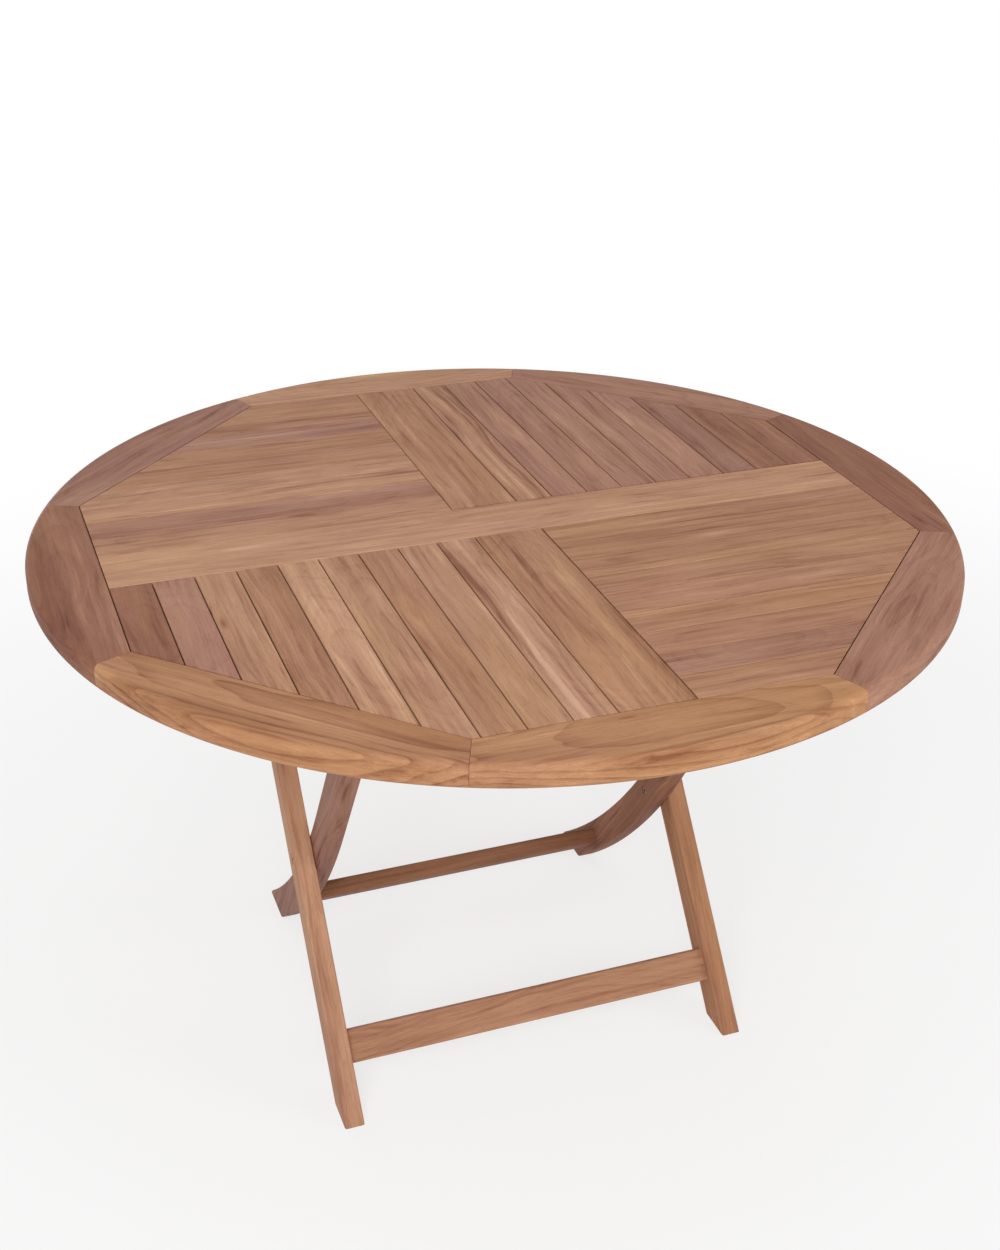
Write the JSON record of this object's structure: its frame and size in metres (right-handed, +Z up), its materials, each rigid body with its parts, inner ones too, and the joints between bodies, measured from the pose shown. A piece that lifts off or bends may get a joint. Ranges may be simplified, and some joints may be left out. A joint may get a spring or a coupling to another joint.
{
  "type": "folding picnic table",
  "caption": "Round folding picnic table with a slatted hardwood top, a mitred rim and crossed straight and sabre-curved legs that fold together under the top.",
  "frame": {"origin": "on the floor, under the middle of the round top", "axes": "+X to the right along the centre rail, +Y to the back, where the outer legs are hinged, +Z up"},
  "size_m": [1.2, 1.2, 0.75],
  "materials": {
    "rim_wood": "bare sanded teak, lightly oiled",
    "slat_wood": "bare sanded teak, lightly oiled",
    "batten_wood": "bare sanded teak",
    "leg_wood": "bare sanded teak, lightly oiled",
    "hardware": "plain, dull"
  },
  "bodies": {
    "outer_legs": {"outer_leg_left": "leg_wood", "outer_leg_right": "leg_wood", "outer_stretcher": "leg_wood", "pivot_bolts": "hardware", "pivot_nuts": "hardware"},
    "tabletop": {"rim_right": "rim_wood", "rim_back_right": "rim_wood", "rim_back": "rim_wood", "rim_back_left": "rim_wood", "rim_left": "rim_wood", "rim_front_left": "rim_wood", "rim_front": "rim_wood", "rim_front_right": "rim_wood", "centre_rail": "slat_wood", "cross_plank_front": "slat_wood", "cross_plank_back": "slat_wood", "slat_back_right_1": "slat_wood", "slat_back_right_2": "slat_wood", "slat_back_right_3": "slat_wood", "slat_back_right_4": "slat_wood", "slat_back_right_5": "slat_wood", "slat_back_right_6": "slat_wood", "slat_back_right_7": "slat_wood", "slat_back_right_8": "slat_wood", "slat_back_right_9": "slat_wood", "slat_back_left_1": "slat_wood", "slat_back_left_2": "slat_wood", "slat_back_left_3": "slat_wood", "slat_back_left_4": "slat_wood", "slat_back_left_5": "slat_wood", "slat_back_left_6": "slat_wood", "slat_back_left_7": "slat_wood", "slat_back_left_8": "slat_wood", "slat_back_left_9": "slat_wood", "slat_front_left_1": "slat_wood", "slat_front_left_2": "slat_wood", "slat_front_left_3": "slat_wood", "slat_front_left_4": "slat_wood", "slat_front_left_5": "slat_wood", "slat_front_left_6": "slat_wood", "slat_front_left_7": "slat_wood", "slat_front_left_8": "slat_wood", "slat_front_left_9": "slat_wood", "slat_front_right_1": "slat_wood", "slat_front_right_2": "slat_wood", "slat_front_right_3": "slat_wood", "slat_front_right_4": "slat_wood", "slat_front_right_5": "slat_wood", "slat_front_right_6": "slat_wood", "slat_front_right_7": "slat_wood", "slat_front_right_8": "slat_wood", "slat_front_right_9": "slat_wood", "long_batten_left": "batten_wood", "long_batten_right": "batten_wood", "cross_batten": "batten_wood", "catch_blocks": "batten_wood"},
    "inner_legs": {"inner_leg_left": "leg_wood", "inner_leg_right": "leg_wood", "inner_stretcher": "leg_wood", "top_dowel": "leg_wood"}
  },
  "joints": [
    {"name": "top_tilt", "type": "hinge", "parent": "outer_legs", "child": "tabletop", "pos_m": [0, 0.33556, 0.69], "axis": [-1, 0, 0], "range_deg": [0, 125]},
    {"name": "leg_fold", "type": "hinge", "parent": "outer_legs", "child": "inner_legs", "pos_m": [0, 0, 0.274], "axis": [-1, 0, 0], "range_deg": [0, 70]}
  ],
  "couplings": [
    {"joint": "leg_fold", "follows": "top_tilt", "ratio": 0.56}
  ]
}
